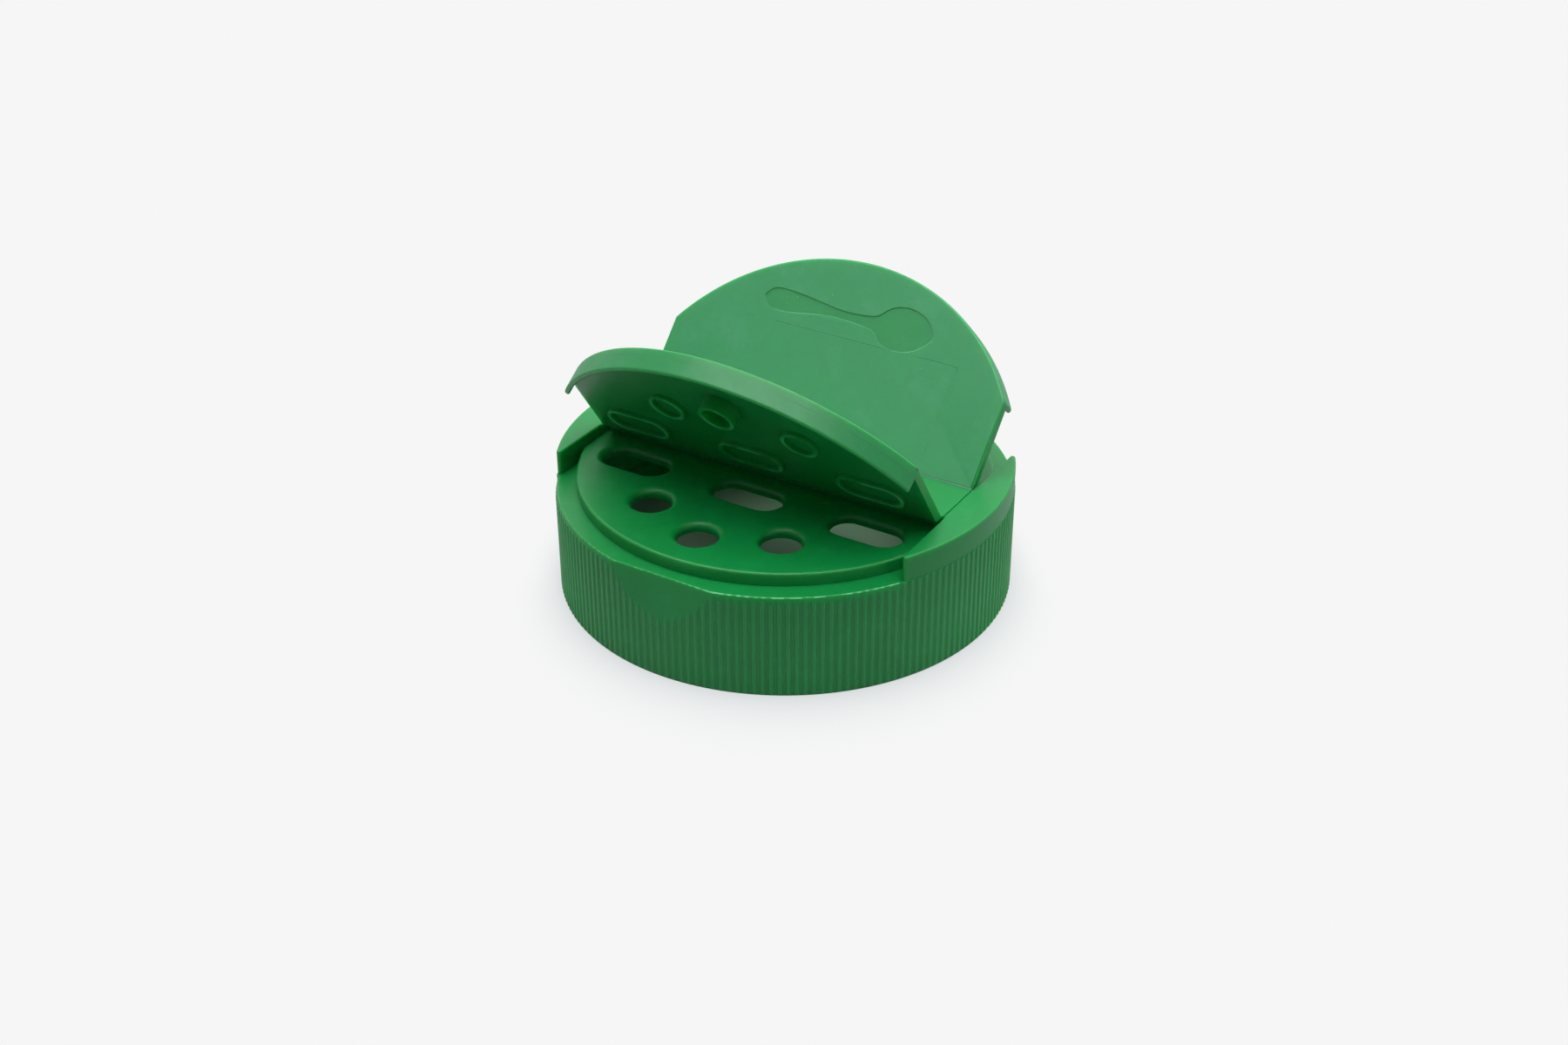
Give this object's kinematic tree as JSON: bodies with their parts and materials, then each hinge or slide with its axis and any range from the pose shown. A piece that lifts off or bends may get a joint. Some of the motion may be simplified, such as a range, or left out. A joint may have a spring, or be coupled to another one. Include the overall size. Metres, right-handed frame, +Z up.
{
  "type": "dual flap shaker cap",
  "caption": "Ribbed screw cap for a spice jar, with a sifter flap over round holes and slots and a second flap over a half-moon spoon opening.",
  "frame": {"origin": "centre of the skirt's bottom rim, in the plane that the cap rests on", "axes": "+Z up along the cap's axis out of the deck, +X along the two hinge lines, the sifter flap on -Y and the spoon flap on +Y"},
  "size_m": [0.0662, 0.0662, 0.0427],
  "materials": {
    "cap_body": "satin polypropylene, deep green",
    "sifter_flap": "satin polypropylene, deep green",
    "spoon_flap": "satin polypropylene, deep green"
  },
  "bodies": {
    "cap": {"cap_body": "cap_body"},
    "sifter": {"sifter_flap": "sifter_flap"},
    "spoon": {"spoon_flap": "spoon_flap"}
  },
  "joints": [
    {"name": "sifter_hinge", "type": "hinge", "parent": "cap", "child": "sifter", "pos_m": [0, -0.0044, 0.0192], "axis": [-1, 0, 0], "range_deg": [-56, 39]},
    {"name": "spoon_hinge", "type": "hinge", "parent": "cap", "child": "spoon", "pos_m": [0, 0.0044, 0.0192], "axis": [1, 0, 0], "range_deg": [-46.5, 48.5]}
  ]
}
